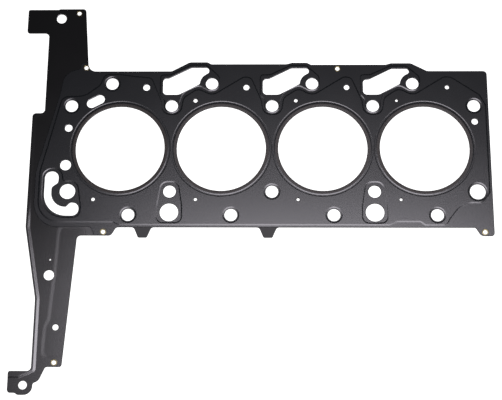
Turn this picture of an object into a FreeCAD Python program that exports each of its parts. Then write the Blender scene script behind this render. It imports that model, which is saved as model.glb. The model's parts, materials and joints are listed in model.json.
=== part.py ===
import FreeCAD, Part
import Sketcher
import math
import os

# A multi-layer steel cylinder head gasket for a four-cylinder engine, with a long arm
# across its timing end. It lies flat: +Z is the cylinder head side, X runs along the
# cylinders and the origin is in the middle of the bore line, on the lowest face.
# All lengths are millimetres.

doc = FreeCAD.newDocument("head_gasket")
sheet = doc.addObject("Spreadsheet::Sheet", "dims")

SIZES = [
    ("bore_pitch", 108.0, "distance between neighbouring cylinders"),
    ("bore_opening", 95.0, "opening round each cylinder"),
    ("active_sheet", 0.25, "thickness of each embossed spring-steel layer"),
    ("carrier_sheet", 0.50, "thickness of the flat middle layer"),
    ("bead_rise", 0.25, "height of every bead and step"),
    ("step_run", 1.6, "width of the slope of a step bead"),
    ("fire_bead_radius", 52.5, "middle of the full bead round a cylinder"),
    ("fire_bead_floor", 0.8, "flat width at the bottom of the full bead"),
    ("stopper_sheet", 0.12, "thickness of a stopper ring"),
    ("stopper_width", 2.4, "radial width of a stopper ring"),
    ("stopper_setback", 0.15, "stopper ring stands back from the opening"),
    ("bolt_row", 48.2, "inner head bolts, above and below the bore line"),
    ("bolt_hole", 13.5, "clearance hole of an M12 head bolt"),
    ("bolt_land", 0.8, "flat rim between a bolt hole and its step"),
    ("dowel_hole", 16.6, "bolt hole that also clears a dowel sleeve"),
    ("outer_bolt_row", 73.8, "outer head bolts, above and below the bore line"),
    ("outer_bolt_shift", 11.0, "outer bolts stand aside of the cylinder middle"),
    ("drain_row", 71.0, "oil drains below the bore line"),
    ("drain_hole", 19.6, "oil drain"),
    ("rivet_bore", 4.5, "hole through a hollow rivet"),
    ("rivet_wall", 0.35, "wall of a hollow rivet"),
    ("rivet_flange", 6.6, "outside of a rivet's rolled flange"),
    ("flange_sheet", 0.20, "thickness of a rivet's flange"),
    ("rivet_gap", 0.05, "gap between a rivet and its hole, on the radius"),
    ("top_edge", 96.6, "upper edge between the first two window arches"),
    ("arch_edge", 99.0, "upper edge over the first window"),
    ("edge_fall", 0.7, "both come down by this from one window to the next"),
    ("end_edge", 88.4, "upper edge at both ends"),
    ("bottom_edge", 87.3, "lower edge"),
    ("right_edge", 231.5, "right-hand edge"),
    ("tab_reach", 11.2, "thickness tabs stand out from the lower edge"),
    ("ear_reach", 9.0, "rivet ears stand out from the lower edge"),
    ("perimeter_band", 3.8, "flat band outside the perimeter step"),
    ("window_left", 64.1, "left side of a window from its cylinder"),
    ("window_top", 92.7, "top of the first window"),
    ("window_foot", 61.1, "lower side of a window"),
    ("cover_left", 251.0, "head-side layer reaches this far over the arm"),
    ("arm_top", 161.9, "upper end of the arm"),
    ("arm_foot", 260.7, "lower end of the arm"),
    ("arm_left_upper", 244.9, "left side of the upper arm"),
    ("arm_left_middle", 258.0, "left side of the arm beside the cylinders"),
    ("arm_left_lower", 243.7, "left side of the lower arm"),
    ("arm_right_upper", 205.5, "right side of the arm at its upper end"),
    ("arm_right_lower", 213.0, "right side of the arm at its lower end"),
    ("arm_root", 203.5, "right side of the lower arm where it leaves the body"),
    ("arm_tab_left", 269.2, "left side of the upper tab"),
    ("arm_tab_foot", 133.6, "lower side of the upper tab"),
    ("foot_tab_left", 267.0, "left side of the lower tab"),
    ("foot_tab_top", 238.7, "upper side of the lower tab"),
    ("shoulder", 40.1, "where the arm widens beside the cylinders"),
    ("arm_band", 4.9, "raised band along the arm's outer side, with its slope"),
    ("arm_rise", 0.5, "height of that band in the middle layer"),
    ("arm_run", 3.2, "width of its slope there"),
    ("recess_depth", 0.1, "depth of the recess in the lower arm"),
    ("recess_run", 0.8, "width of its slope"),
    ("lug_x", 251.3, "lug hole at the arm's foot, left of the middle"),
    ("lug_y", 253.0, "lug hole at the arm's foot, below the bore line"),
    ("lug_radius", 9.8, "lug round that hole"),
    ("m10_hole", 10.8, "cover screw hole for M10"),
    ("m8_hole", 8.8, "cover screw hole for M8"),
    ("pin_hole", 6.3, "locating hole in the lower arm"),
    ("pip_hole", 1.8, "small punched hole in the lower arm"),
]
COLUMN_NAMES = ("size", "mm", "what it is")
for column, heading in zip("ABC", COLUMN_NAMES):
    sheet.set(f"{column}1", heading)
for row, (alias, number, meaning) in enumerate(SIZES, start=2):
    sheet.set(f"A{row}", alias)
    sheet.set(f"B{row}", str(number))
    sheet.setAlias(f"B{row}", alias)
    sheet.set(f"C{row}", meaning)
doc.recompute()


class Sizes:
    """The driving sizes, read back from the sheet."""

    def __getattr__(self, alias):
        return float(sheet.get(alias))


size = Sizes()
CYLINDERS = 4
BORES = [(i - (CYLINDERS - 1) / 2) * size.bore_pitch for i in range(CYLINDERS)]
COLUMNS = [(i - CYLINDERS / 2) * size.bore_pitch for i in range(CYLINDERS + 1)]

# Heights of the stack, written as expressions on the sheet. The two embossed layers
# mirror each other about the carrier.
BLOCK_FLAT = "dims.bead_rise"
CARRIER = f"({BLOCK_FLAT} + dims.active_sheet)"
HEAD_FLAT = f"({CARRIER} + dims.carrier_sheet)"
HEAD_TOP = f"({HEAD_FLAT} + dims.active_sheet)"
STACK = f"({HEAD_TOP} + dims.bead_rise)"
SLOPE = "atan(dims.step_run / dims.bead_rise)"


def rounded_sketch(name, corners):
    """Closed sketch of straight runs; each corner (x, y, r) is rounded by a tangent arc."""
    points = [FreeCAD.Vector(x, y, 0) for x, y, radius in corners]
    arcs = []
    for i, (x, y, radius) in enumerate(corners):
        here = points[i]
        back = (points[i - 1] - here).normalize()
        ahead = (points[(i + 1) % len(points)] - here).normalize()
        half = back.getAngle(ahead) / 2
        cut = radius / math.tan(half)
        inward = (back + ahead).normalize()
        crown = here + inward * (radius / math.sin(half) - radius)
        arcs.append((here + back * cut, crown, here + ahead * cut))
    sketch = doc.addObject("Sketcher::SketchObject", name)
    for i, (start, crown, end) in enumerate(arcs):
        if corners[i][2]:
            sketch.addGeometry(Part.Arc(start, crown, end))
        sketch.addGeometry(Part.LineSegment(end, arcs[(i + 1) % len(arcs)][0]))
    return sketch


def extrude(name, sketch, base, height, taper=None):
    """Straight or sloped slab on a sketch; base and height are expressions."""
    slab = doc.addObject("Part::Extrusion", name)
    slab.Base = sketch
    slab.DirMode = "Custom"
    slab.Dir = FreeCAD.Vector(0, 0, 1)
    slab.Solid = True
    slab.setExpression("LengthFwd", height)
    if taper:
        slab.setExpression("TaperAngle", taper)
    slab.setExpression("Placement.Base.z", base)
    return slab


def cylinder(name, x, y, diameter):
    """Round punch through the whole stack."""
    punch = doc.addObject("Part::Cylinder", name)
    punch.setExpression("Radius", f"({diameter}) / 2")
    punch.setExpression("Height", f"2 * {STACK}")
    punch.setExpression("Placement.Base.x", x)
    punch.setExpression("Placement.Base.y", y)
    punch.setExpression("Placement.Base.z", f"-{STACK} / 2")
    return punch


def cone(name, x, y, low_radius, high_radius):
    """Cone as high as a bead, from its low radius to its high one."""
    tool = doc.addObject("Part::Cone", name)
    tool.setExpression("Radius1", low_radius)
    tool.setExpression("Radius2", high_radius)
    tool.setExpression("Height", "dims.bead_rise")
    tool.setExpression("Placement.Base.x", x)
    tool.setExpression("Placement.Base.y", y)
    return tool


def boolean(kind, name, base, tool):
    """Part::Cut or Part::Common of two objects."""
    result = doc.addObject(kind, name)
    result.Base = base
    result.Tool = tool
    return result


def fuse(name, shapes):
    result = doc.addObject("Part::MultiFuse", name)
    result.Shapes = shapes
    return result


def group(name, shapes):
    result = doc.addObject("Part::Compound", name)
    result.Links = shapes
    return result


def placed(name, source, base):
    """The same shape again at another height."""
    copy = doc.addObject("Part::Compound", name)
    copy.Links = [source]
    copy.setExpression("Placement.Base.z", base)
    return copy


# Outlines. X and Y are read off the named sizes; what is left as a number is a small
# offset from a named edge.

def upper_edge():
    """Top edge from the arm to the right end, with an arch over each window."""
    top = [size.top_edge - i * size.edge_fall for i in range(2)]
    arch = [size.arch_edge - i * size.edge_fall for i in range(3)]
    run = [(-size.bore_pitch * 1.5 - 37.4, size.end_edge, 8.7),
           (BORES[1] - 55.1, size.end_edge, 6),
           (BORES[1] - 35.5, arch[0], 8),
           (BORES[1] - 16.5, arch[0], 4),
           (BORES[1] - 12.0, top[0], 4)]
    run += [(BORES[2] - 38.5, top[0], 4),
            (BORES[2] - 32.5, arch[1], 4),
            (BORES[2] - 16.5, arch[1], 4),
            (BORES[2] - 12.0, top[1], 4)]
    run += [(BORES[3] - 39.0, top[1], 4),
            (BORES[3] - 33.5, arch[2], 4),
            (BORES[3] - 12.0, arch[2], 8),
            (BORES[3] + 5.5, size.end_edge, 8),
            (size.right_edge, size.end_edge, 4)]
    return run


def lower_right():
    """Right end and the rivet ear under it."""
    return [(size.right_edge, -size.bottom_edge - size.ear_reach, 3.5),
            (size.right_edge - 14.0, -size.bottom_edge - size.ear_reach, 6),
            (size.right_edge - 19.5, -size.bottom_edge, 3)]


def thickness_tab(middle):
    """Tab below the lower edge, from right to left."""
    foot = -size.bottom_edge - size.tab_reach
    return [(middle + 9.3, -size.bottom_edge, 4),
            (middle + 4.6, foot, 2),
            (middle - 4.6, foot, 2),
            (middle - 9.3, -size.bottom_edge, 4)]


def ear_left():
    """Rivet ear beside the arm, from right to left along the lower edge."""
    ear_foot = -size.bottom_edge - size.ear_reach
    return [(BORES[0] - 1.0, -size.bottom_edge, 4), (BORES[0] - 6.0, ear_foot, 5)]


def arm_outline():
    """Arm from its root below the body, round the foot and up to the upper tab."""
    lug_foot = -size.lug_y - size.lug_radius
    lug_right = -size.lug_x + size.lug_radius
    return [(-size.arm_root, -size.bottom_edge - size.ear_reach, 4.4),
            (-size.arm_right_lower, -size.foot_tab_top + 4.3, 2.7),
            (-size.arm_left_lower + 14.3, -size.foot_tab_top + 4.3, 3),
            (-size.arm_left_lower + 8.0, -size.foot_tab_top - 10.0, 8),
            (lug_right, -size.lug_y + 2.0, 3),
            (lug_right, lug_foot, size.lug_radius - 1.0),
            (-size.lug_x - 5.0, lug_foot, 4),
            (-size.lug_x - 8.0, -size.arm_foot, 3),
            (-size.foot_tab_left, -size.arm_foot, 3.3),
            (-size.foot_tab_left, -size.foot_tab_top, 2.2),
            (-size.arm_left_lower, -size.foot_tab_top, 4.4),
            (-size.arm_left_lower, -163.6, 20),
            (-size.arm_left_middle, -size.bottom_edge, 20),
            (-size.arm_left_middle, size.shoulder, 3.8),
            (-size.arm_left_upper, size.shoulder, 4.4),
            (-size.arm_left_upper, size.arm_tab_foot, 4.4),
            (-size.arm_tab_left, size.arm_tab_foot, 3.3),
            (-size.arm_tab_left, size.arm_top, 2),
            (-size.arm_right_upper - 30.5, size.arm_top, 1),
            (-size.arm_right_upper - 28.5, size.arm_top + 0.8, 1),
            (-size.arm_right_upper, size.arm_top + 0.8, 3.3)]


def cover_boundary():
    """Head-side layer's edge over the arm, from below the body up to its ear."""
    return [(BORES[0] - 27.8, -size.bottom_edge, 4),
            (-size.cover_left, -size.bottom_edge, 27),
            (-size.cover_left, -26.0, 35),
            (-229.0, 64.0, 40),
            (-225.5, 86.5, 16),
            (-208.6, 91.6, 2),
            (-208.3, 98.6, 4),
            (-size.arm_right_upper + 5.2, 98.6, 0)]


tabs = thickness_tab(-4.0) + thickness_tab(-135.2)
ear_foot_left = [(BORES[0] - 23.5, -size.bottom_edge - size.ear_reach, 1)]
carrier_outline = rounded_sketch(
    "carrier_outline", upper_edge() + lower_right() + tabs + ear_left() + arm_outline())
block_outline = rounded_sketch(
    "block_outline", upper_edge() + lower_right() + ear_left() + arm_outline())
head_outline = rounded_sketch(
    "head_outline", upper_edge() + lower_right() + ear_left() + ear_foot_left
    + cover_boundary())


# Perimeter step. Inside it the embossed layers stand off the carrier, outside it and
# inside each island they lie on it.

def window_step(bore):
    """Step that dips under the two bolts and the window left of one cylinder's middle."""
    return [(bore - 76.0, 81.3, 7), (bore - 64.6, 54.0, 12), (bore - 62.9, 39.3, 8.5),
            (bore - 45.1, 39.3, 8.5), (bore - 42.2, 58.2, 9), (bore - 26.0, 69.0, 9),
            (bore - 10.5, 61.2, 10), (bore + 23.5, 82.8, 9)]


def window_island(i):
    """Foot of the raised land round one window and the two bolts beside it."""
    bore = BORES[i + 1]
    head = size.arch_edge - i * size.edge_fall - 2.5
    return [(bore - 67.6, 84.9, 4), (bore - 56.6, 84.9, 6), (bore - 34.6, head, 5),
            (bore - 17.0, head, 4), (bore - 2.4, 82.5, 8), (bore - 2.4, 65.0, 8.6),
            (bore - 14.5, 65.0, 7), (bore - 25.0, 71.2, 7), (bore - 41.0, 63.8, 12),
            (bore - 45.4, 52.0, 8), (bore - 45.4, 39.6, 8.2), (bore - 62.6, 39.6, 8.2),
            (bore - 62.6, 55.0, 6), (bore - 67.6, 60.5, 5)]


def perimeter_corners():
    left = -size.cover_left + size.perimeter_band
    low = -size.bottom_edge + 2.0
    low_left = low + 2.9
    right = size.right_edge - 2.2
    run = [(left, low_left, 24), (left, -27.0, 35), (-227.0, 59.6, 9),
           (-203.0, 60.3, 18), (-187.0, 72.5, 8), (-181.5, 85.6, 7),
           (BORES[0] - 4.0, 85.6, 10), (BORES[0] + 14.0, 83.0, 15)]
    for bore in BORES[1:]:
        run += window_step(bore)
    run += [(193.5, 81.6, 8), (223.0, 61.4, 8), (right, 49.5, 8), (right, -50.0, 10),
            (220.5, -61.0, 8), (206.5, -60.9, 12), (196.0, -66.0, 12), (187.2, -77.0, 20),
            (182.5, low, 7), (159.5, low, 4), (155.0, -81.6, 4), (131.0, -81.6, 5),
            (123.0, low, 6), (BORES[0] + 1.5, low, 4), (BORES[0] - 4.5, low_left, 4)]
    return run


def pair_corners(column):
    """Island round a lower bolt and the oil drain under it."""
    half = size.drain_hole / 2 + 2.6
    foot = -size.drain_row - half + 1.6
    head = -size.bolt_row + size.bolt_hole / 2 + 3.2
    return [(column - 8.2, head, 7), (column + 8.2, head, 7),
            (column + half, -64.0, 20), (column + half, foot, 6),
            (column - half, foot, 6), (column - half, -64.0, 20)]


def port_corners():
    """C-shaped coolant port round the left dowel hole."""
    return [(-240.7, -25.8, 7.4), (-225.6, -25.8, 7.2), (-226.2, -38.5, 4),
            (-233.0, -43.5, 4), (-233.0, -65.0, 15), (-216.8, -64.9, 2.5),
            (-212.5, -60.4, 2.5), (-203.4, -60.4, 6.5), (-203.4, -74.8, 6.9),
            (-240.7, -74.8, 24)]


def port_island_corners():
    """Island round the C-shaped port and the dowel hole inside it."""
    return [(-242.4, -23.6, 9), (-224.0, -23.6, 8.5), (-222.0, -37.6, 4),
            (-206.5, -37.6, 8.5), (-202.4, -64.0, 20), (-202.4, -76.0, 7),
            (-242.4, -76.0, 24)]


def window_corners(i):
    """Slanted window left of one cylinder's middle."""
    bore = BORES[i + 1]
    left = bore - size.window_left
    fall = i * size.edge_fall
    top = size.window_top - fall
    return [(left, 80.2 - fall, 3.8), (bore - 57.8, 80.2 - fall, 5.5), (bore - 33.3, top, 6.5),
            (bore - 14.3, top, 3.3), (bore - 14.3, 86.8 - fall / 2, 2.7),
            (bore - 23.1, 81.2, 12.6), (bore - 24.3, 73.5, 2.7),
            (bore - 46.9, size.window_foot, 8.7), (left, size.window_foot, 4.4)]


def oval_corners():
    """Slanted oval port above the first cylinder, as four corners of a turned box."""
    turn = FreeCAD.Rotation(FreeCAD.Vector(0, 0, 1), 28)
    middle = FreeCAD.Vector(-190.2, 53.5, 0)
    spots = [middle + turn.multVec(FreeCAD.Vector(x, y, 0))
             for x, y in ((-10.2, -5.2), (10.2, -5.2), (10.2, 5.2), (-10.2, 5.2))]
    return [(spot.x, spot.y, 5.1) for spot in spots]


perimeter = rounded_sketch("perimeter_step", perimeter_corners())
pair_islands = [rounded_sketch(f"pair_island_{i}", pair_corners(column))
                for i, column in enumerate((COLUMNS[1], COLUMNS[3]))]
port_island = rounded_sketch("port_island", port_island_corners())
port = rounded_sketch("port", port_corners())
windows = [rounded_sketch(f"window_{i}", window_corners(i)) for i in range(CYLINDERS - 1)]
oval = rounded_sketch("oval", oval_corners())
window_lands = [rounded_sketch(f"window_land_{i}", window_island(i))
                for i in range(CYLINDERS - 1)]

# Bolt holes as (name, x, y, diameter), each an expression on the sheet.
BOLTS = []
for i in range(CYLINDERS + 1):
    along = f"{i - CYLINDERS / 2} * dims.bore_pitch"
    lower = "dims.dowel_hole" if i in (0, CYLINDERS) else "dims.bolt_hole"
    BOLTS.append((f"bolt_upper_{i}", along, "dims.bolt_row", "dims.bolt_hole"))
    BOLTS.append((f"bolt_lower_{i}", along, "-dims.bolt_row", lower))
for i in range(CYLINDERS):
    middle = f"{i - (CYLINDERS - 1) / 2} * dims.bore_pitch"
    BOLTS.append((f"outer_upper_{i}", f"{middle} - dims.outer_bolt_shift",
                  "dims.outer_bolt_row", "dims.bolt_hole"))
    BOLTS.append((f"outer_lower_{i}", f"{middle} + dims.outer_bolt_shift",
                  "-dims.outer_bolt_row", "dims.bolt_hole"))

# Other round holes in the body, as offsets from a cylinder's middle and diameters that
# meter the coolant from the first cylinder to the last.
STEAM_OFFSET, STEAM_ROW, STEAM_HOLES = 26.2, 69.5, (7.5, 6.6, 6.0, 4.6)
VENT_OFFSET, VENT_ROW, VENT_HOLES = -28.5, 54.2, (4.5, 4.0, 3.0)
METER_OFFSET, METER_ROW, METER_HOLES = -26.5, -56.9, (4.0, 3.6, 3.4, 3.2)
ROUND_PORTS = [(216.2, 30.2, 7.0), (-218.1, 22.9, 8.3), (-219.4, -18.9, 11.8)]
RIVETS = [(-212.8, 157.4), (-202.1, 92.6), (70.6, 91.3),
          (-176.5, -92.3), (-220.9, -230.0), (221.8, -92.1)]

punches = [cylinder(*bolt) for bolt in BOLTS]
for i in range(CYLINDERS):
    middle = f"{i - (CYLINDERS - 1) / 2} * dims.bore_pitch"
    punches.append(cylinder(f"bore_{i}", middle, "0", "dims.bore_opening"))
    punches.append(cylinder(f"steam_{i}", f"{middle} + {STEAM_OFFSET}",
                            f"{STEAM_ROW}", f"{STEAM_HOLES[i]}"))
    punches.append(cylinder(f"meter_{i}", f"{middle} + {METER_OFFSET}",
                            f"{METER_ROW}", f"{METER_HOLES[i]}"))
    if i:
        punches.append(cylinder(f"vent_{i}", f"{middle} + {VENT_OFFSET}",
                                f"{VENT_ROW}", f"{VENT_HOLES[i - 1]}"))
for i, (x, y, diameter) in enumerate(ROUND_PORTS):
    punches.append(cylinder(f"round_port_{i}", f"{x}", f"{y}", f"{diameter}"))
for i, side in enumerate((-1, 1)):
    punches.append(cylinder(f"drain_{i}", f"{side} * dims.bore_pitch",
                            "-dims.drain_row", "dims.drain_hole"))
for i, (x, y) in enumerate(RIVETS):
    punches.append(cylinder(f"rivet_hole_{i}", f"{x}", f"{y}",
                            "dims.rivet_bore + 2 * dims.rivet_wall + 2 * dims.rivet_gap"))
punches.append(cylinder("cover_upper", "-232.1", "151.0", "dims.m10_hole"))
punches.append(cylinder("cover_lower", "-230.8", "-139.0", "dims.m10_hole"))
punches.append(cylinder("cover_foot", "-dims.lug_x", "-dims.lug_y", "dims.m8_hole"))
punches.append(cylinder("pin", "-221.1", "-193.7", "dims.pin_hole"))
punches.append(cylinder("pip", "-230.3", "-122.5", "dims.pip_hole"))
for i, sketch in enumerate([port, oval] + windows):
    punches.append(extrude(f"cut_out_{i}", sketch, f"-{STACK} / 2", f"2 * {STACK}"))
holes = group("holes", punches)

# The raised field: everything inside the perimeter step, less a ring bead round each
# cylinder and a low island round each bolt, bolt and drain pair, and the C-shaped port.
# Each window stands in a raised land of its own with the two bolts beside it.
field = extrude("field", perimeter, "0", "dims.bead_rise", f"-{SLOPE}")
dips = []
for i in range(CYLINDERS):
    middle = f"{i - (CYLINDERS - 1) / 2} * dims.bore_pitch"
    outer_foot = "dims.fire_bead_radius + dims.fire_bead_floor / 2"
    inner_foot = "dims.fire_bead_radius - dims.fire_bead_floor / 2"
    wide = cone(f"bead_outer_{i}", middle, "0", outer_foot, f"{outer_foot} + dims.step_run")
    core = cone(f"bead_inner_{i}", middle, "0", inner_foot, f"{inner_foot} - dims.step_run")
    dips.append(boolean("Part::Cut", f"fire_bead_{i}", wide, core))
IN_WINDOW_LAND = [f"bolt_upper_{i}" for i in range(1, CYLINDERS)]
IN_WINDOW_LAND += [f"outer_upper_{i}" for i in range(1, CYLINDERS)]
for name, x, y, diameter in BOLTS:
    if name not in IN_WINDOW_LAND:
        rim = f"{diameter} / 2 + dims.bolt_land"
        dips.append(cone(f"{name}_step", x, y, rim, f"{rim} + dims.step_run"))
for i, sketch in enumerate(pair_islands + [port_island]):
    dips.append(extrude(f"island_{i}", sketch, "0", "dims.bead_rise", SLOPE))
lands = [extrude(f"land_{i}", sketch, "0", "dims.bead_rise", f"-{SLOPE}")
         for i, sketch in enumerate(window_lands)]
relief = fuse("relief", [boolean("Part::Cut", "dipped_field", field, fuse("dips", dips))]
              + lands)


# The arm's own steps, pressed into the carrier and the block-side layer.

def arm_floor_corners():
    """Floor of the arm beside its raised outer band, which ends at the shoulder; the
    floor runs on past the arm's other sides."""
    beyond = 30.0
    foot = -size.foot_tab_top - 8.0
    left = -size.arm_left_middle + size.arm_band
    right = size.right_edge + beyond
    shoulder = size.shoulder - size.arm_band
    return [(-size.foot_tab_left - beyond, foot, 0),
            (-255.5, foot, 4),
            (-size.arm_left_lower + size.arm_band, foot + 7.3, 5),
            (-size.arm_left_lower + size.arm_band, -163.2, 20),
            (left, -size.bottom_edge, 20),
            (left, shoulder, 3),
            (left + 10.6, shoulder + 2.3, 4),
            (left - 59.4, shoulder + 112.3, 0),
            (left - 59.4, size.arm_top + beyond, 0),
            (right, size.arm_top + beyond, 0),
            (right, -size.arm_foot - beyond, 0),
            (-size.foot_tab_left - beyond, -size.arm_foot - beyond, 0)]


def arm_recess_corners():
    """Recessed strip along the right side of the lower arm, up to the head-side layer."""
    right = -size.arm_root + 9.0
    head = -size.bottom_edge - 2.2
    ear = BORES[0] - 26.5
    return [(-220.3, head, 3), (-222.3, -135.0, 40), (-226.0, -186.0, 10),
            (-229.6, -194.0, 10), (-231.0, -222.0, 4), (right, -222.0, 0),
            (right, head - 20.0, 0), (ear + 5.0, head - 20.0, 0), (ear - 2.0, head, 1)]


arm_floor = rounded_sketch("arm_floor", arm_floor_corners())
arm_recess = rounded_sketch("arm_recess", arm_recess_corners())


def arm_step(outline, tag, rise, run):
    """Raised band and recess of one layer, based at zero."""
    blank = extrude(f"{tag}_blank", outline, "0", rise)
    floor = extrude(f"{tag}_floor", arm_floor, "0", rise, f"atan({run} / {rise})")
    band = boolean("Part::Cut", f"{tag}_band", blank, floor)
    dip = extrude(f"{tag}_dip", arm_recess, "0", "dims.recess_depth",
                  "atan(dims.recess_run / dims.recess_depth)")
    return band, boolean("Part::Common", f"{tag}_recess", blank, dip)


def flipped(name, source):
    """Mirror image of a shape about its own base plane."""
    mirror = doc.addObject("Part::Mirroring", name)
    mirror.Source = source
    mirror.Normal = FreeCAD.Vector(0, 0, 1)
    return mirror


def layer(label, blank, added, removed):
    """One sheet: its blank with reliefs added and removed, then pierced by every hole."""
    raised = fuse(f"{label}_raised", [blank] + added)
    pressed = boolean("Part::Cut", f"{label}_pressed", raised,
                      group(f"{label}_underside", removed))
    pierced = boolean("Part::Cut", f"{label}_pierced", pressed, holes)
    pierced.Label = label
    return pierced


head_blank = extrude("head_blank", head_outline, HEAD_FLAT, "dims.active_sheet")
head_layer = layer("head_side_layer", head_blank,
                   [placed("head_relief_up", relief, HEAD_TOP)],
                   [placed("head_relief_under", relief, HEAD_FLAT)])

carrier_band, carrier_recess = arm_step(carrier_outline, "carrier", "dims.arm_rise",
                                       "dims.arm_run")
carrier_blank = extrude("carrier_blank_sheet", carrier_outline, CARRIER, "dims.carrier_sheet")
carrier_layer = layer("carrier_layer", carrier_blank,
                      [placed("carrier_band_up", carrier_band, HEAD_FLAT),
                       placed("carrier_recess_under", carrier_recess,
                              f"{CARRIER} - dims.recess_depth")],
                      [placed("carrier_band_under", carrier_band, CARRIER),
                       placed("carrier_recess_up", carrier_recess,
                              f"{HEAD_FLAT} - dims.recess_depth")])

block_band, block_recess = arm_step(block_outline, "block", "dims.bead_rise",
                                   "dims.step_run")
relief_down = flipped("relief_down", relief)
band_down = flipped("band_down", block_band)
block_blank = extrude("block_blank_sheet", block_outline, BLOCK_FLAT, "dims.active_sheet")
block_layer = layer("block_side_layer", block_blank,
                    [placed("block_relief_under", relief_down, BLOCK_FLAT),
                     placed("block_band_under", band_down, BLOCK_FLAT),
                     placed("block_recess_under", block_recess,
                            f"{BLOCK_FLAT} - dims.recess_depth")],
                    [placed("block_relief_up", relief_down, CARRIER),
                     placed("block_band_up", band_down, CARRIER),
                     placed("block_recess_up", block_recess,
                            f"{CARRIER} - dims.recess_depth")])


# Stopper rings and hollow rivets, each a body of its own.

def plane(body, role):
    return next(item for item in body.Origin.OriginFeatures if item.Role == role)


def body_sketch(body, name, role):
    sketch = body.newObject("Sketcher::SketchObject", name)
    sketch.AttachmentSupport = (plane(body, role), [""])
    sketch.MapMode = "FlatFace"
    return sketch


def circle(sketch, diameter):
    """Circle about the sketch's origin with its diameter bound to an expression."""
    index = sketch.addGeometry(Part.Circle(FreeCAD.Vector(), FreeCAD.Vector(0, 0, 1), 1.0))
    sketch.addConstraint(Sketcher.Constraint("Coincident", index, 3, -1, 1))
    bound = sketch.addConstraint(Sketcher.Constraint("Diameter", index, 2.0))
    sketch.setExpression(f"Constraints[{bound}]", diameter)


def stopper_ring(i):
    """Thin flat ring welded on the carrier at the edge of one cylinder opening."""
    ring = doc.addObject("PartDesign::Body", f"stopper_body_{i}")
    ring.Label = f"stopper_ring_{i + 1}"
    sketch = body_sketch(ring, f"stopper_profile_{i}", "XY_Plane")
    inside = "dims.bore_opening + 2 * dims.stopper_setback"
    circle(sketch, inside)
    circle(sketch, f"{inside} + 2 * dims.stopper_width")
    pad = ring.newObject("PartDesign::Pad", f"stopper_pad_{i}")
    pad.Profile = sketch
    pad.setExpression("Length", "dims.stopper_sheet")
    ring.setExpression("Placement.Base.x", f"{i - (CYLINDERS - 1) / 2} * dims.bore_pitch")
    ring.setExpression("Placement.Base.z", HEAD_FLAT)
    return ring


def rivet(i, x, y, grip_top):
    """Hollow rivet: a short tube rolled over into a flange above and below the sheets."""
    body = doc.addObject("PartDesign::Body", f"rivet_body_{i}")
    body.Label = f"rivet_{i + 1}"
    tube = body_sketch(body, f"rivet_tube_{i}", "XY_Plane")
    circle(tube, "dims.rivet_bore")
    circle(tube, "dims.rivet_bore + 2 * dims.rivet_wall")
    shank = body.newObject("PartDesign::Pad", f"rivet_shank_{i}")
    shank.Profile = tube
    length = f"{grip_top} - {BLOCK_FLAT} + 2 * dims.flange_sheet"
    shank.setExpression("Length", length)
    for side, offset in (("foot", "0"), ("head", f"{length} - dims.flange_sheet")):
        ring = body_sketch(body, f"rivet_{side}_profile_{i}", "XY_Plane")
        circle(ring, "dims.rivet_bore")
        circle(ring, "dims.rivet_flange")
        ring.setExpression("AttachmentOffset.Base.z", offset)
        flange = body.newObject("PartDesign::Pad", f"rivet_{side}_{i}")
        flange.Profile = ring
        flange.setExpression("Length", "dims.flange_sheet")
    body.setExpression("Placement.Base.x", f"{x}")
    body.setExpression("Placement.Base.y", f"{y}")
    body.setExpression("Placement.Base.z", f"{BLOCK_FLAT} - dims.flange_sheet")
    return body


parts = [head_layer, carrier_layer, block_layer]
parts += [stopper_ring(i) for i in range(CYLINDERS)]
ARM_RIVETS = (0, 4)
parts += [rivet(i, x, y, HEAD_FLAT if i in ARM_RIVETS else HEAD_TOP)
          for i, (x, y) in enumerate(RIVETS)]
doc.recompute()

for item in doc.Objects:
    if "Invalid" in item.State or "Error" in item.State:
        raise RuntimeError(f"{item.Label} failed to build: {item.State}")
for item in parts:
    if item.Shape.isNull() or not item.Shape.isValid() or not item.Shape.Solids:
        raise RuntimeError(f"{item.Label} has no valid solid")

os.makedirs("parts", exist_ok=True)
for item in parts:
    item.Shape.exportStep(f"parts/{item.Label}.step")
    box = item.Shape.BoundBox
    print(f"{item.Label:18s} solids {len(item.Shape.Solids)} faces {len(item.Shape.Faces):4d} "
          f"volume {item.Shape.Volume:10.1f}  z {box.ZMin:.3f} to {box.ZMax:.3f}")
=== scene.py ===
import json
import math

import bmesh
import bpy
import numpy as np
from bpy.props import FloatProperty, FloatVectorProperty, IntProperty, PointerProperty
from mathutils import Matrix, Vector
from mathutils.geometry import delaunay_2d_cdt


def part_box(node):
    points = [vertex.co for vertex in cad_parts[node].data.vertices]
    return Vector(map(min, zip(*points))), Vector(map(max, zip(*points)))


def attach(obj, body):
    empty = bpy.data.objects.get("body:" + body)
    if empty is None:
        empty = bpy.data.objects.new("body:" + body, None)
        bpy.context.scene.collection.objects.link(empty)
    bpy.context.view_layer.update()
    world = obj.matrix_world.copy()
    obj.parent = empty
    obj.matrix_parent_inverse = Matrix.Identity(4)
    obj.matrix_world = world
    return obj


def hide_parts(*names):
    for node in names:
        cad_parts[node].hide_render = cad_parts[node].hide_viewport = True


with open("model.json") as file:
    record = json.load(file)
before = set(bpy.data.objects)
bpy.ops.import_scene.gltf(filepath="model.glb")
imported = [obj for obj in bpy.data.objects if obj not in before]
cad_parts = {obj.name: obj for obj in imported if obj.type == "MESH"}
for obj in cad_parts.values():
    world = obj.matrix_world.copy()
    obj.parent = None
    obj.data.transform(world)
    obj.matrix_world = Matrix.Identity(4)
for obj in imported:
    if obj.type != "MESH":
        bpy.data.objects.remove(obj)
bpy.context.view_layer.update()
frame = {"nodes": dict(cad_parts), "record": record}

bl_info = {
    "name": "Cylinder head gasket",
    "version": (1, 0, 0),
    "blender": (4, 5, 0),
    "location": "View3D > Sidebar > Gasket",
    "description": "Dresses a multi-layer steel cylinder head gasket and sets up its studio",
    "category": "Object",
}

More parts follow.
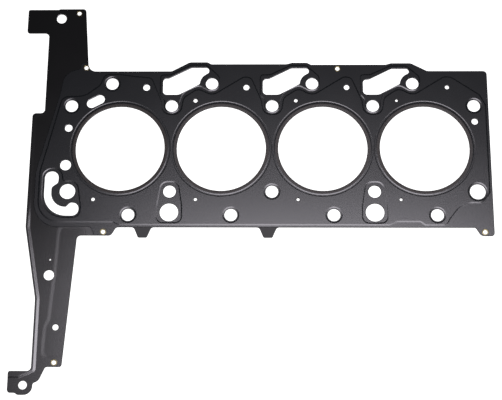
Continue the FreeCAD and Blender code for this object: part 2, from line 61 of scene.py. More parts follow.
MM = 0.001
MOUNTS = {mount["name"]: mount for mount in frame["record"]["mounts"]}
CYLINDERS = np.array([MOUNTS[name]["pos_m"][:2] for name in sorted(MOUNTS)
                      if name.startswith("cylinder_")])
OPENING = MOUNTS["cylinder_1"]["dims"]["r_mm"] * MM

MERGE = 0.002 * MM        # corners of a CAD mesh closer than this are one
LEVEL = 0.01 * MM         # an edge whose ends differ in height by less is level
SAME_SPOT = 0.001 * MM    # corners of a plan closer than this are one
UPPER_SIDE = 0.5          # a face of the upper side has at least this upward part
FLAT = 0.9995             # and a level one more than this
RING_MARGIN = 1 * MM      # feet this close to the ring bead's radius belong to it
LONGEST_FOOT = 8 * MM     # a foot line is cut into runs no longer than this
LIP_INSET = 0.3 * MM      # the innermost row on the lip stands back by this
LIP_ROWS, LIP_STEPS = 5, 144    # rows on the lip and points in each of them
RECESS_STEEPNESS = 0.14   # slopes less steep than this are those round the recess
MOUTH_STEPS, ROLL_STEPS = 7, 9    # points along a rivet's mouth and its rolled rim
SHARP_EDGE = math.radians(50)


def linear(hex_colour):
    """An sRGB hex colour as linear red, green and blue."""
    channels = [int(hex_colour[i:i + 2], 16) / 255 for i in (1, 3, 5)]
    return tuple(c / 12.92 if c <= 0.04045 else ((c + 0.055) / 1.055) ** 2.4 for c in channels)


def length(name, millimetres, description):
    """A length property with its default in millimetres."""
    return FloatProperty(name=name, default=millimetres * MM, unit="LENGTH", precision=5,
                         description=description)


def colour(name, hex_colour, description):
    """A colour property with its default as an sRGB hex value."""
    return FloatVectorProperty(name=name, subtype="COLOR", size=3, min=0, max=1,
                               default=linear(hex_colour), description=description)


def share(name, value, description):
    """A property between 0 and 1."""
    return FloatProperty(name=name, default=value, min=0, max=1, description=description)


class GasketForm(bpy.types.PropertyGroup):
    """Sizes of the sheets' finer forms."""

    active_sheet: length("Embossed sheet", 0.25, "Thickness of an embossed layer")
    carrier_sheet: length("Carrier sheet", 0.50, "Thickness of the middle layer")
    bead_rise: length("Bead rise", 0.25, "Height of every step and bead")
    step_run: length("Step run", 1.6, "Width of the slope of a step")
    arm_rise: length("Arm band rise", 0.5, "Height of the raised band along the arm")
    arm_run: length("Arm band run", 3.2, "Width of that band's slope")
    band_share: share("Upper band share", 0.08, "Share of the arm band's rise beside the body")
    band_full: length("Full band", -105, "Y below which the band has its full rise")
    band_low: length("Low band", -55, "Y above which only that share of it is left")
    recess_depth: length("Recess depth", 0.1, "Depth of the recess in the lower arm")
    recess_run: length("Recess run", 5.0, "Width of the soft slope round that recess")
    ring_radius: length("Ring bead radius", 52.5, "Middle of the ring bead round a cylinder")
    ring_depth: length("Ring bead depth", 0.13, "Depth to which the ring bead's bottom is rounded")
    ring_run: length("Ring bead run", 1.1, "Width of each side of the ring bead")
    lip_crest: length("Lip crest", 50.9, "Radius at which the lip round an opening begins to fall")
    lip_drop: length("Lip drop", 0.12, "How far the lip falls towards the opening")
    lip_curl: FloatProperty(name="Lip curl", default=1.3, min=1,
                            description="Power of the distance by which the lip falls")
    bare_edge: length("Bare edge", 51.2, "Radius out to which the coating is thin")
    bare_fade: length("Bare fade", 0.8, "Width over which it gets thin")
    roll_over: length("Roll-over", 0.05, "Fall of a punched edge where the punch drew it in")
    roll_width: length("Roll-over width", 0.45, "Width of that rounding")
    roll_lean: share("Roll-over lean", 0.42, "Outward lean of the surface along that rounding")
    rivet_bore: length("Rivet bore", 4.5, "Hole through a hollow rivet")
    rivet_wall: length("Rivet wall", 0.35, "Wall of a hollow rivet")
    rivet_flange: length("Rivet flange", 6.6, "Outside of a rivet's rolled flange")
    flange_sheet: length("Flange sheet", 0.20, "Thickness of a rivet's rolled flange")
    slope_rings: IntProperty(name="Slope rings", default=6, min=2,
                             description="Rows of faces across each slope")


class GasketFinish(bpy.types.PropertyGroup):
    """Colours and sheens of the finishes."""

    coating: colour("Coating", "#0c0e11", "Rubber coating of the embossed layers")
    carrier_coating: colour("Carrier coating", "#0b0b0c", "Rubber coating of the middle layer")
    bare: colour("Thin coating", "#1d1714", "Heat-tinted steel showing through round the openings")
    punched: colour("Punched edge", "#332c28", "Steel where the sheets were punched")
    stopper: colour("Stopper", "#9a9894", "Stainless stopper strip")
    brass: colour("Brass", "#70664a", "Rolled brass of the rivets")
    floor: colour("Floor", "#f2f2f2", "Studio floor")
    gloss: share("Gloss", 0.5, "Specular level of the embossed layers' coating")
    roughness: share("Roughness", 0.258, "Mean roughness of the embossed layers' coating")
    carrier_gloss: share("Carrier gloss", 0.6, "Specular level of the middle layer's coating")
    carrier_roughness: share("Carrier roughness", 0.208,
                             "Mean roughness of the middle layer's coating")
    arm_dulling: share("Arm dulling", 0.045, "What is added to it at the foot of the arm")


class GasketStudio(bpy.types.PropertyGroup):
    """Camera and light."""

    lens: FloatProperty(name="Lens", default=90.16, unit="CAMERA",
                        description="Focal length on a 36 mm wide sensor")
    key_height: length("Key height", 1600, "Height of the overhead lamp")
    key_right: length("Key right", 106, "Overhead lamp's offset to the right")
    key_near: length("Key near", 117, "Overhead lamp's offset to the near side")
    key_size: length("Key size", 900, "Side of the overhead lamp")
    key_power: FloatProperty(name="Key power", default=30.5, unit="POWER",
                             description="Power of the overhead lamp")
    ambient: FloatProperty(name="Ambient", default=0.03,
                           description="Strength of the plain light all round")
    floor_reach: length("Floor reach", 3000, "How far the floor runs each way")
    floor_glow: share("Floor glow", 0.45, "What the floor adds to its own tone in the picture")


# Sheets. Each one is read from its CAD node as a plan: the punched edges, and the foot
# lines of its slopes with the side on which the slope rises.

def cad_arrays(node):
    """Points and triangles of a copy of a CAD node with its doubles merged."""
    merged = bmesh.new()
    merged.from_mesh(frame["nodes"][node].data)
    bmesh.ops.remove_doubles(merged, verts=merged.verts, dist=MERGE)
    bmesh.ops.triangulate(merged, faces=merged.faces)
    mesh = bpy.data.meshes.new("merged")
    merged.to_mesh(mesh)
    merged.free()
    points = np.empty(len(mesh.vertices) * 3)
    mesh.vertices.foreach_get("co", points)
    corners = np.empty(len(mesh.loops), np.int32)
    mesh.loops.foreach_get("vertex_index", corners)
    bpy.data.meshes.remove(mesh)
    return points.reshape(-1, 3), corners.reshape(-1, 3)


def edge_rows(triangles):
    """The three edges of each triangle and, for each, the corner across from it."""
    edges = np.concatenate([triangles[:, [0, 1]], triangles[:, [1, 2]], triangles[:, [2, 0]]])
    across = np.concatenate([triangles[:, 2], triangles[:, 0], triangles[:, 1]])
    return edges, across


def open_edges(triangles):
    """Edges that only one triangle uses, as directed pairs, with the corner across."""
    edges, across = edge_rows(triangles)
    ordered = np.sort(edges, axis=1)
    _, inverse, uses = np.unique(ordered, axis=0, return_inverse=True, return_counts=True)
    single = uses[inverse.ravel()] == 1
    return edges[single], across[single]


def facing(points, edges, across):
    """Unit normal in plan of each edge, towards the corner across from it."""
    start, end = points[edges[:, 0], :2], points[edges[:, 1], :2]
    run = end - start
    normal = np.c_[-run[:, 1], run[:, 0]] / np.linalg.norm(run, axis=1)[:, None]
    side = np.sign(np.sum(normal * (points[across, :2] - start), axis=1))
    return normal * side[:, None]


def in_short_runs(points, edges, longest):
    """Cuts each edge into equal runs no longer than the longest.

    Returns the points with the new ones added, the runs, and the edge each came from."""
    span = points[edges[:, 1]] - points[edges[:, 0]]
    pieces = np.maximum(np.ceil(np.linalg.norm(span, axis=1) / longest), 1).astype(int)
    source = np.repeat(np.arange(len(edges)), pieces)
    step = np.arange(len(source)) - np.repeat(np.cumsum(pieces) - pieces, pieces)
    inner = step > 0
    share = (step / pieces[source])[inner, None]
    added = points[edges[source[inner], 0]] + span[source[inner]] * share
    start = edges[source, 0]
    start[inner] = len(points) + np.arange(inner.sum())
    end = np.where(step + 1 == pieces[source], edges[source, 1], np.roll(start, -1))
    return np.concatenate([points, added]), np.c_[start, end], source


def sheet_plan(node, steps, form):
    """Punched edges and slope feet of the upper side of a CAD sheet.

    A foot is a level edge between a flat triangle and a sloped one that rises from it.
    Each takes its rise and run from the first of the steps, (steepness limit, rise, run),
    whose limit is above the slope's steepness; those of the ring beads come last."""
    points, triangles = cad_arrays(node)
    a, b, c = (points[triangles[:, i]] for i in range(3))
    normal = np.cross(b - a, c - a)
    upward = normal[:, 2] / np.maximum(np.linalg.norm(normal, axis=1), 1e-20)
    punched, inner = open_edges(triangles[upward > UPPER_SIDE])
    flat_edges, _ = edge_rows(triangles[upward > FLAT])
    flat_keys = np.unique(np.sort(flat_edges, axis=1) @ [len(points), 1])
    sloped = (upward > UPPER_SIDE) & (upward < FLAT)
    edges, across = edge_rows(triangles[sloped])
    steepness = np.tile(np.sqrt(1 / upward[sloped] ** 2 - 1), 3)
    height = points[edges, 2]
    level = np.abs(height[:, 0] - height[:, 1]) < LEVEL
    rising = points[across, 2] > height[:, 0] + LEVEL
    meets_flat = np.isin(np.sort(edges, axis=1) @ [len(points), 1], flat_keys)
    foot = level & rising & meets_flat
    feet, upper = edges[foot], across[foot]
    limits, rises, runs = np.array(steps).T
    kind = np.argmax(steepness[foot][:, None] < limits, axis=1)
    reach = np.linalg.norm(points[feet[:, 0], None, :2] - CYLINDERS, axis=2).min(axis=1)
    kind[np.abs(reach - form.ring_radius) < RING_MARGIN] = len(steps) - 1
    depths = rises.copy()
    depths[-1] = form.ring_depth
    rise_side = facing(points, feet, upper)
    inward = facing(points, punched, inner)
    points, feet, source = in_short_runs(points, feet, LONGEST_FOOT)
    kind, rise_side = kind[source], rise_side[source]
    return {"points": points, "edges": punched, "inward": inward,
            "feet": feet, "rise_side": rise_side,
            "low": points[feet[:, 0], 2] + (rises - depths)[kind], "kind": kind,
            "rise": depths[kind], "run": runs[kind], "runs": runs}


def unit_rows(vectors):
    """Vectors scaled to length 1 along their last axis; one of no length stays so."""
    return vectors / np.maximum(np.linalg.norm(vectors, axis=-1, keepdims=True), 1e-12)


def offset_rings(points, edges, normals, distances):
    """Copies of a set of edges, moved along the mean normals of their ends.

    Each end moves by n * d, where n is the unit sum of the normals of its edges, weighted
    by their lengths. Returns plan points and edges on them."""
    used, index = np.unique(edges, return_inverse=True)
    index = index.reshape(-1, 2)
    weight = np.linalg.norm(points[edges[:, 0], :2] - points[edges[:, 1], :2], axis=1)
    total = np.zeros((len(used), 2))
    for end in range(2):
        np.add.at(total, index[:, end], normals * weight[:, None])
    total = unit_rows(total)
    rings = [points[used, :2] + total * distance for distance in distances]
    links = [index + i * len(used) for i in range(len(distances))]
    return np.concatenate(rings), np.concatenate(links)


def circles(radii, steps):
    """Rings of points round every cylinder, with their edges."""
    turn = np.arange(steps) * (2 * math.pi / steps)
    unit = np.c_[np.cos(turn), np.sin(turn)]
    rings = [centre + radius * unit for centre in CYLINDERS for radius in radii]
    index = np.arange(steps)
    link = np.c_[index, np.roll(index, -1)]
    return np.concatenate(rings), np.concatenate([link + i * steps for i in range(len(rings))])


def nearest(spots, start, end, chunk=4000):
    """For each spot, the index of the nearest edge and the vector from it."""
    run = end - start
    square = np.maximum(np.sum(run * run, axis=1), 1e-20)
    index = np.empty(len(spots), np.int64)
    offset = np.empty((len(spots), 2))
    for first in range(0, len(spots), chunk):
        part = spots[first:first + chunk, None, :]
        along = np.clip(np.sum((part - start) * run, axis=2) / square, 0, 1)
        away = part - start - along[:, :, None] * run
        best = np.argmin(np.sum(away * away, axis=2), axis=1)
        index[first:first + chunk] = best
        offset[first:first + chunk] = away[np.arange(len(best)), best]
    return index, offset


def inside(spots, start, end, chunk=4000):
    """True where a spot lies on the sheet: a line to its right crosses an odd number of
    punched edges."""
    result = np.empty(len(spots), bool)
    fall = end[:, 1] - start[:, 1]
    slope = (end[:, 0] - start[:, 0]) / np.where(fall == 0, 1, fall)
    for first in range(0, len(spots), chunk):
        part = spots[first:first + chunk]
        spans = (start[:, 1] > part[:, 1:]) != (end[:, 1] > part[:, 1:])
        crossing = start[:, 0] + (part[:, 1:] - start[:, 1]) * slope
        result[first:first + chunk] = np.sum(spans & (crossing > part[:, :1]), axis=1) % 2 == 1
    return result


def smooth(t):
    """S-curve from 0 to 1 with level ends: 3 t^2 - 2 t^3."""
    t = np.clip(t, 0, 1)
    return t * t * (3 - 2 * t)


def sheet_heights(spots, plan, form):
    """Upper side of a sheet and its gradient: each slope is an S-curve of the distance
    from its foot, z = low + rise * S(d / run). The arm's band, told by its greater rise,
    sinks to a share of it beside the body."""
    points, feet = plan["points"], plan["feet"]
    index, offset = nearest(spots, points[feet[:, 0], :2], points[feet[:, 1], :2])
    distance = np.linalg.norm(offset, axis=1)
    uphill = offset / np.maximum(distance, 1e-9)[:, None]
    ahead = np.sum(offset * plan["rise_side"][index], axis=1) > 0
    rise, run = plan["rise"][index], plan["run"][index]
    sunk = smooth((spots[:, 1] - form.band_full) / (form.band_low - form.band_full))
    on_band = rise > (form.bead_rise + form.arm_rise) / 2
    rise = rise * np.where(on_band, 1 - (1 - form.band_share) * sunk, 1)
    t = np.where(ahead, np.clip(distance / run, 0, 1), 0)
    steep = rise / run * 6 * t * (1 - t)
    return plan["low"][index] + rise * smooth(t), uphill * steep[:, None]


def lip_heights(spots, form):
    """Fall of the lip towards the nearest opening, its gradient and the radius: the drop
    times t^curl, where t runs from 0 at the crest to 1 at the opening."""
    away = spots[:, None, :] - CYLINDERS
    radius = np.linalg.norm(away, axis=2)
    nearest_bore = np.argmin(radius, axis=1)
    rows = np.arange(len(spots))
    radius, away = radius[rows, nearest_bore], away[rows, nearest_bore]
    width = form.lip_crest - OPENING
    t = np.clip((form.lip_crest - radius) / width, 0, 1)
    steep = form.lip_drop / width * form.lip_curl * t ** (form.lip_curl - 1)
    fall = -form.lip_drop * t ** form.lip_curl
    return fall, away / radius[:, None] * steep[:, None], radius


def plan_rows(plan, form, lip):
    """Rows of points with their edges: the punched edges, the inner side of their
    rounding, rows across every slope and rows on the lip."""
    points = plan["points"]
    used, index = np.unique(plan["edges"], return_inverse=True)
    rows = [(points[used, :2], index.reshape(-1, 2)),
            offset_rings(points, plan["edges"], plan["inward"], [form.roll_width])]
    for kind, run in enumerate(plan["runs"]):
        steps = np.linspace(0, run, form.slope_rings + 1)
        mine = plan["kind"] == kind
        if mine.any():
            rows.append(offset_rings(points, plan["feet"][mine], plan["rise_side"][mine], steps))
    if lip:
        radii = np.linspace(OPENING + LIP_INSET, form.lip_crest, LIP_ROWS)
        rows.append(circles(radii, LIP_STEPS))
    return rows


def triangulated(rows, start, end):
    """Points and faces of the sheet in plan: a constrained triangulation of the rows.

    The first row is kept whole, as it is the punched edges; of the others only what lies
    on the sheet, whose punched edges run from start to end."""
    spots, links, base = [], [], 0
    for ring, edges in rows:
        spots.append(ring)
        links.append(edges + base)
        base += len(ring)
    spots, links = np.concatenate(spots), np.concatenate(links)
    kept = inside(spots, start, end)
    kept[:len(rows[0][0])] = True
    number = np.cumsum(kept) - 1
    links = number[links[kept[links].all(axis=1)]]
    flat, _, faces, *_ = delaunay_2d_cdt([tuple(p) for p in spots[kept].tolist()],
                                         [tuple(e) for e in links.tolist()], [], 0,
                                         SAME_SPOT, False)
    flat = np.array([tuple(p) for p in flat])
    faces = np.array(faces)
    faces = faces[inside(flat[faces].mean(axis=1), start, end)]
    used, faces = np.unique(faces, return_inverse=True)
    return flat[used], faces.reshape(-1, 3)


def corner_normals(flat, faces, rim, outward, gradient, lean):
    """Normals of the corners of the upper faces, the lower faces and the walls.

    A sheet's normal is (-gradient, 1), turned over on the lower side. In the faces that
    touch a punched edge it leans outward too, by the given lean."""
    on_rim = np.zeros(len(flat), bool)
    on_rim[rim] = True
    rolled = np.zeros((len(flat), 2))
    for end in range(2):
        np.add.at(rolled, rim[:, end], outward)
    outer = (unit_rows(rolled) * on_rim[:, None])[faces]
    mean = unit_rows(outer.sum(axis=1, keepdims=True))
    leaning = np.where(on_rim[faces][:, :, None], outer, mean) * lean
    upright = np.c_[-gradient, np.ones(len(flat))]
    upper = upright[faces] + np.concatenate([leaning, np.zeros((len(faces), 3, 1))], axis=2)
    wall = np.c_[outward, np.zeros(len(rim))]
    walls = np.repeat(np.concatenate([wall, wall])[:, None, :], 3, axis=1)
    return unit_rows(np.concatenate([upper, -upright[faces[:, ::-1]], walls]))


def sheet_mesh(name, plan, thickness, form, lip):
    """One sheet as a closed shell of constant thickness.

    The upper side stands at sheet_heights over the plan's triangulation, the lower side a
    thickness below, and walls join them along the punched edges."""
    start, end = (plan["points"][plan["edges"][:, i], :2] for i in range(2))
    flat, faces = triangulated(plan_rows(plan, form, lip), start, end)
    count = len(flat)
    top, gradient = sheet_heights(flat, plan, form)
    bare = np.zeros(count)
    if lip:
        fall, lean, radius = lip_heights(flat, form)
        top, gradient = top + fall, gradient + lean
        bare = smooth((form.bare_edge - radius) / form.bare_fade)
    bottom = top - thickness
    rim, inner = open_edges(faces)
    top[np.unique(rim)] -= form.roll_over
    shell = np.concatenate([np.c_[flat, top], np.c_[flat, bottom]])
    a, b = rim[:, 0], rim[:, 1]
    walls = np.concatenate([np.c_[b, a, a + count], np.c_[b, a + count, b + count]])
    triangles = np.concatenate([faces, faces[:, ::-1] + count, walls])
    mesh = bpy.data.meshes.new(name)
    mesh.from_pydata(shell.tolist(), [], triangles.tolist())
    mesh.shade_smooth()
    normals = corner_normals(flat, faces, rim, -facing(flat, rim, inner), gradient,
                             form.roll_lean)
    mesh.normals_split_custom_set(normals.reshape(-1, 3).tolist())
    material = np.zeros(len(triangles), np.int32)
    material[len(faces) * 2:] = 1
    mesh.polygons.foreach_set("material_index", material)
    thin = mesh.attributes.new("bare", "FLOAT", "POINT")
    thin.data.foreach_set("value", np.concatenate([bare, bare]).astype(np.float32))
    mesh.update()
    return mesh


def piece(name, mesh, materials, slot, *nodes):
    """A new object in the row's frame that rides on the root body and stands for nodes."""
    thing = bpy.data.objects.new(name, mesh)
    bpy.context.scene.collection.objects.link(thing)
    for material in materials:
        mesh.materials.append(material)
    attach(thing, "root")
    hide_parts(*nodes)


def lathe(name, profile, x, y, steps=72):
    """A closed profile of radius and height turned about the upright axis at x, y."""
    turn = np.arange(steps) * (2 * math.pi / steps)
    radius, height = np.asarray(profile).T
    ring = np.stack([x + np.outer(np.cos(turn), radius), y + np.outer(np.sin(turn), radius),
                     np.broadcast_to(height, (steps, len(height)))], axis=-1)
    i, j = np.meshgrid(np.arange(steps), np.arange(len(radius)), indexing="ij")
    i2, j2 = (i + 1) % steps, (j + 1) % len(radius)
    index = [a * len(radius) + b for a, b in ((i, j), (i2, j), (i2, j2), (i, j2))]
    faces = np.stack(index, axis=-1).reshape(-1, 4)
    mesh = bpy.data.meshes.new(name)
    mesh.from_pydata(ring.reshape(-1, 3).tolist(), [], faces.tolist())
    mesh.shade_smooth()
    mesh.set_sharp_from_angle(angle=SHARP_EDGE)
    return mesh


# Materials.

def add_node(tree, kind, settings=(), links=()):
    """One node with its settings and links; a setting is a socket's value or a property."""
    node = tree.nodes.new(kind)
    for key, value in dict(settings).items():
        if isinstance(key, str) and key in node.bl_rna.properties:
            setattr(node, key, value)
        else:
            node.inputs[key].default_value = value
    for key, source in dict(links).items():
        tree.links.new(source, node.inputs[key])
    return node


def new_material(name):
    """An empty node material and its tree."""
    material = bpy.data.materials.new(name)
    material.use_nodes = True
    material.node_tree.nodes.clear()
    return material, material.node_tree


def rgba(colour_property):
    """A colour with full opacity."""
    return (*colour_property, 1.0)


def noise(tree, size, detail):
    """A noise in the object's own space, with blotches of the given size."""
    place = add_node(tree, "ShaderNodeTexCoord").outputs["Object"]
    return add_node(tree, "ShaderNodeTexNoise", {"Scale": 1 / size, "Detail": detail},
                    {"Vector": place}).outputs["Fac"]


def mapped(tree, value, target, source=(0, 1), shape="LINEAR"):
    """A value mapped from the source range onto the target range."""
    return add_node(tree, "ShaderNodeMapRange",
                    {"interpolation_type": shape, "From Min": source[0], "From Max": source[1],
                     "To Min": target[0], "To Max": target[1]},
                    {"Value": value}).outputs["Result"]


def combined(tree, operation, first, *others):
    """Values put together by a math operation, one after the other."""
    for other in others:
        first = add_node(tree, "ShaderNodeMath", {"operation": operation},
                         {0: first, 1: other}).outputs["Value"]
    return first


def show(tree, shader):
    """Makes a shader the surface of the material."""
    add_node(tree, "ShaderNodeOutputMaterial", {}, {"Surface": shader})


CLOUD, COAT_GRAIN = 35 * MM, 0.9 * MM    # sizes of the cloud and the grain of a coating
CLOUD_DETAIL, GRAIN_DETAIL = 3, 2        # levels of finer noise in a cloud and in a grain
CLOUD_ROUGHNESS = (-0.015, 0.02)         # what the cloud adds at its least and its most
COAT_TONES = (0.9, 1.15)                 # factors of the coating's colour over its grain
COAT_BUMP, BUMP_STRENGTH = 0.01 * MM, 0.15
COAT_TINT = "#fbf6ff"                    # tint of the coating's shine
ARM_Y = (-160 * MM, -45 * MM)            # where the arm is fully dulled, and not at all
TABS_X = (-200 * MM, -150 * MM)          # from the arm's right side to the first tab
TAB_DULLING = 9

METAL_SPREAD = 0.06                      # what a metal's grain adds or takes at the most
PUNCHED_SHEEN = (0.42, 0.4 * MM)         # mean roughness and size of the grain
STRIP_SHEEN = (0.30, 0.5 * MM)
BRASS_SHEEN = (0.28, 0.3 * MM)


def coated_steel(name, coating, bare_tone, gloss, roughness, dulling=0.0):
    """Spring steel with a rolled-on rubber coating: satin black, faintly cloudy where the
    coat is thicker, and a little brown round each opening, where it is thinnest and the
    heat-tinted steel shows through. Its roughness rises by the dulling down the arm, and
    by TAB_DULLING times as much to the right of the arm, where only the tabs show."""
    material, tree = new_material(name)
    grain = noise(tree, COAT_GRAIN, GRAIN_DETAIL)
    place = add_node(tree, "ShaderNodeTexCoord").outputs["Object"]
    along = add_node(tree, "ShaderNodeSeparateXYZ", {}, {0: place}).outputs
    cloudy = mapped(tree, noise(tree, CLOUD, CLOUD_DETAIL),
                    [roughness + part for part in CLOUD_ROUGHNESS])
    arm = mapped(tree, along["Y"], (dulling, 0), ARM_Y, "SMOOTHSTEP")
    tabs = mapped(tree, along["X"], (0, TAB_DULLING * dulling), TABS_X)
    dark, light = (rgba([factor * c for c in coating]) for factor in COAT_TONES)
    coat = add_node(tree, "ShaderNodeMix", {"data_type": "RGBA", 6: dark, 7: light}, {0: grain})
    bare = add_node(tree, "ShaderNodeAttribute", {"attribute_name": "bare"}).outputs["Fac"]
    tone = add_node(tree, "ShaderNodeMix", {"data_type": "RGBA", 7: rgba(bare_tone)},
                    {0: bare, 6: coat.outputs[2]})
    bump = add_node(tree, "ShaderNodeBump",
                    {"Strength": BUMP_STRENGTH, "Distance": COAT_BUMP}, {"Height": grain})
    shader = add_node(tree, "ShaderNodeBsdfPrincipled",
                      {"Specular IOR Level": gloss, "Specular Tint": rgba(linear(COAT_TINT))},
                      {"Base Color": tone.outputs[2],
                       "Roughness": combined(tree, "ADD", cloudy, arm, tabs),
                       "Normal": bump.outputs["Normal"]})
    show(tree, shader.outputs["BSDF"])
    return material


def plain_metal(name, tone, roughness, grain):
    """Bare metal with a fine grain in its sheen; the caller names the metal and process."""
    material, tree = new_material(name)
    rough = mapped(tree, noise(tree, grain, GRAIN_DETAIL),
                   (roughness - METAL_SPREAD, roughness + METAL_SPREAD))
    shader = add_node(tree, "ShaderNodeBsdfPrincipled",
                      {"Base Color": rgba(tone), "Metallic": 1.0}, {"Roughness": rough})
    show(tree, shader.outputs["BSDF"])
    return material


def studio_floor(tone, strength):
    """Matt white paper: it takes the object's shadow, and reads white in the picture, where
    it also glows with the given strength."""
    material, tree = new_material("studio_floor")
    ray = add_node(tree, "ShaderNodeLightPath").outputs
    seen = combined(tree, "MAXIMUM", ray["Is Camera Ray"], ray["Is Glossy Ray"],
                    ray["Is Transmission Ray"])
    paper = add_node(tree, "ShaderNodeBsdfDiffuse", {"Color": rgba(tone)}).outputs[0]
    glow = add_node(tree, "ShaderNodeEmission", {"Strength": strength}).outputs[0]
    lit = add_node(tree, "ShaderNodeAddShader", {}, {0: paper, 1: glow}).outputs[0]
    both = add_node(tree, "ShaderNodeMixShader", {}, {0: seen, 1: paper, 2: lit})
    show(tree, both.outputs[0])
    return material


# Operators: one for each piece or group of pieces, and one for the stage.

class SheetOperator:
    """What the three sheet operators share."""

    bl_options = {"REGISTER", "UNDO"}
    node = ""
    lip = False

    def thickness(self, form):
        """Thickness of this sheet."""
        return form.active_sheet

    def band(self, form):
        """Rise and run of this sheet's main slopes."""
        return form.bead_rise, form.step_run

    def coating(self, finish):
        """Material of this sheet's two sides."""
        return coated_steel(f"{self.node}_coating", finish.coating, finish.bare,
                            finish.gloss, finish.roughness)

    def execute(self, context):
        form, finish = context.scene.gasket_form, context.scene.gasket_finish
        steps = [(RECESS_STEEPNESS, form.recess_depth, form.recess_run), (1.0, *self.band(form)),
                 (1.0, form.bead_rise, form.ring_run)]
        mesh = sheet_mesh(f"{self.node}_sheet", sheet_plan(self.node, steps, form),
                          self.thickness(form), form, self.lip)
        coat = self.coating(finish)
        edge = plain_metal(f"{self.node}_punched_edge", finish.punched, *PUNCHED_SHEEN)
        piece(f"{self.node}_sheet", mesh, [coat, edge], self.slot, self.node)
        return {"FINISHED"}


class GASKET_OT_head_side_layer(SheetOperator, bpy.types.Operator):
    """Embossed sheet on the cylinder head side"""

    bl_idname = "gasket.head_side_layer"
    bl_label = "Head-side layer"
    node = "head_side_layer"
    slot = "coated_steel"
    lip = True


class GASKET_OT_carrier_layer(SheetOperator, bpy.types.Operator):
    """Thicker middle sheet with the arm and the thickness tabs"""

    bl_idname = "gasket.carrier_layer"
    bl_label = "Carrier layer"
    node = "carrier_layer"
    slot = "coated_carrier"

    def thickness(self, form):
        return form.carrier_sheet

    def band(self, form):
        return form.arm_rise, form.arm_run

    def coating(self, finish):
        return coated_steel(f"{self.node}_coating", finish.carrier_coating, finish.bare,
                            finish.carrier_gloss, finish.carrier_roughness,
                            finish.arm_dulling)


class GASKET_OT_block_side_layer(SheetOperator, bpy.types.Operator):
    """Embossed sheet on the cylinder block side"""

    bl_idname = "gasket.block_side_layer"
    bl_label = "Block-side layer"
    node = "block_side_layer"
    slot = "coated_steel"


class GASKET_OT_stopper_rings(bpy.types.Operator):
    """Thin welded ring at each opening"""

    bl_idname = "gasket.stopper_rings"
    bl_label = "Stopper rings"

    def execute(self, context):
        tone = context.scene.gasket_finish.stopper
        strip = plain_metal("stainless_strip", tone, *STRIP_SHEEN)
        for i in range(len(CYLINDERS)):
            materials = frame["nodes"][f"stopper_ring_{i + 1}"].data.materials
            materials.clear()
            materials.append(strip)
        return {"FINISHED"}


class GASKET_OT_rivets(bpy.types.Operator):
    """Hollow rivets with their ends rolled over"""

    bl_idname = "gasket.rivets"
    bl_label = "Rivets"

    def execute(self, context):
        form = context.scene.gasket_form
        brass = plain_metal("rolled_brass", context.scene.gasket_finish.brass, *BRASS_SHEEN)
        names = sorted(name for name in frame["nodes"] if name.startswith("rivet_"))
        for name in names:
            low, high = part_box(name)
            x, y = (low.x + high.x) / 2, (low.y + high.y) / 2
            mesh = lathe(name, rivet_profile(form, low.z, high.z), x, y)
            piece(f"{name}_rolled", mesh, [brass], "brass", name)
        return {"FINISHED"}


def rivet_profile(form, foot, head):
    """Section of a hollow rivet: a tube whose ends roll outward in half rounds."""
    bore, shank = form.rivet_bore / 2, form.rivet_bore / 2 + form.rivet_wall
    edge, curl = form.rivet_flange / 2, form.flange_sheet / 2
    quarter = np.linspace(0, math.pi / 2, MOUTH_STEPS)
    flare = form.rivet_wall
    mouth = np.c_[bore + flare * (1 - np.cos(quarter)), head - flare * (1 - np.sin(quarter))]
    rim = np.linspace(math.pi / 2, -math.pi / 2, ROLL_STEPS)
    roll = np.c_[edge - curl + curl * np.cos(rim), head - curl + curl * np.sin(rim)]
    seat = np.array([[shank, head - 2 * curl]])
    upper = np.concatenate([mouth, roll, seat])
    lower = upper[::-1] * [1, -1] + [0, head + foot]
    return np.concatenate([upper, lower])


class GASKET_OT_stage(bpy.types.Operator):
    """Floor, lamp, world and camera"""

    bl_idname = "gasket.stage"
    bl_label = "Stage"

    def execute(self, context):
        scene, studio = context.scene, context.scene.gasket_studio
        reach = studio.floor_reach
        corners = [(-reach, -reach, 0), (reach, -reach, 0), (reach, reach, 0), (-reach, reach, 0)]
        mesh = bpy.data.meshes.new("studio_floor")
        mesh.from_pydata(corners, [], [(0, 1, 2, 3)])
        mesh.materials.append(studio_floor(scene.gasket_finish.floor, studio.floor_glow))
        floor = bpy.data.objects.new("studio_floor", mesh)
        scene.collection.objects.link(floor)
        lamp = bpy.data.lights.new("overhead_softbox", "AREA")
        lamp.energy, lamp.size = studio.key_power, studio.key_size
        key = bpy.data.objects.new("overhead_softbox", lamp)
        key.location = (studio.key_right, -studio.key_near, studio.key_height)
        scene.collection.objects.link(key)
        world = bpy.data.worlds.new("studio_air")
        world.use_nodes = True
        background = world.node_tree.nodes["Background"]
        background.inputs["Color"].default_value = (1, 1, 1, 1)
        background.inputs["Strength"].default_value = studio.ambient
        scene.world = world
        scene.camera = photo_camera(scene, studio)
        scene.view_settings.view_transform = "Standard"
        return {"FINISHED"}


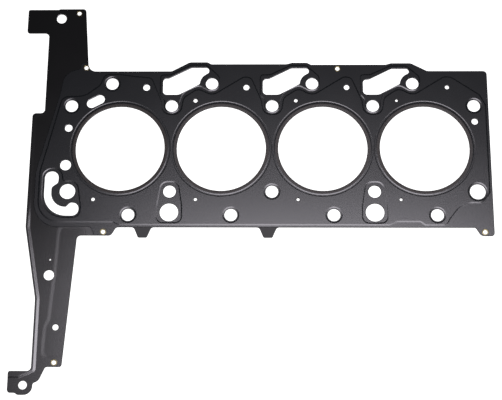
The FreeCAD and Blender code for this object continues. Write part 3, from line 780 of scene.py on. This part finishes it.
# The photograph's camera, found by fitting the hole centres: its place in millimetres, and
# the directions of its right, its up and its back.
CAMERA_PLACE = (6.230, -440.974, 1265.16)
CAMERA_RIGHT = (0.99977, 0.00716, -0.02011)
CAMERA_UP = (-0.00102, 0.95692, 0.29034)
CAMERA_BACK = (0.02132, -0.29025, 0.95671)
SENSOR_WIDTH = 36


def photo_camera(scene, studio):
    """Camera at the photograph's place and angle."""
    camera = bpy.data.objects.new("camera", bpy.data.cameras.new("camera"))
    camera.data.lens = studio.lens
    camera.data.sensor_width = SENSOR_WIDTH
    turn = Matrix((CAMERA_RIGHT, CAMERA_UP, CAMERA_BACK)).transposed().to_4x4()
    camera.matrix_world = Matrix.Translation([c * MM for c in CAMERA_PLACE]) @ turn
    scene.collection.objects.link(camera)
    return camera


STEPS = (GASKET_OT_head_side_layer, GASKET_OT_carrier_layer, GASKET_OT_block_side_layer,
         GASKET_OT_stopper_rings, GASKET_OT_rivets, GASKET_OT_stage)


class GASKET_PT_sidebar(bpy.types.Panel):
    """Lists the steps that dress the gasket"""

    bl_label = "Cylinder head gasket"
    bl_idname = "GASKET_PT_sidebar"
    bl_space_type = "VIEW_3D"
    bl_region_type = "UI"
    bl_category = "Gasket"

    def draw(self, context):
        for step in STEPS:
            self.layout.operator(step.bl_idname)


CLASSES = (GasketForm, GasketFinish, GasketStudio, *STEPS, GASKET_PT_sidebar)


def register():
    for cls in CLASSES:
        bpy.utils.register_class(cls)
    bpy.types.Scene.gasket_form = PointerProperty(type=GasketForm)
    bpy.types.Scene.gasket_finish = PointerProperty(type=GasketFinish)
    bpy.types.Scene.gasket_studio = PointerProperty(type=GasketStudio)


def unregister():
    del bpy.types.Scene.gasket_studio
    del bpy.types.Scene.gasket_finish
    del bpy.types.Scene.gasket_form
    for cls in reversed(CLASSES):
        bpy.utils.unregister_class(cls)


def main():
    """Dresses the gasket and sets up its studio."""
    register()
    for step in STEPS:
        group, name = step.bl_idname.split(".")
        getattr(getattr(bpy.ops, group), name)()


if __name__ == "__main__":
    main()
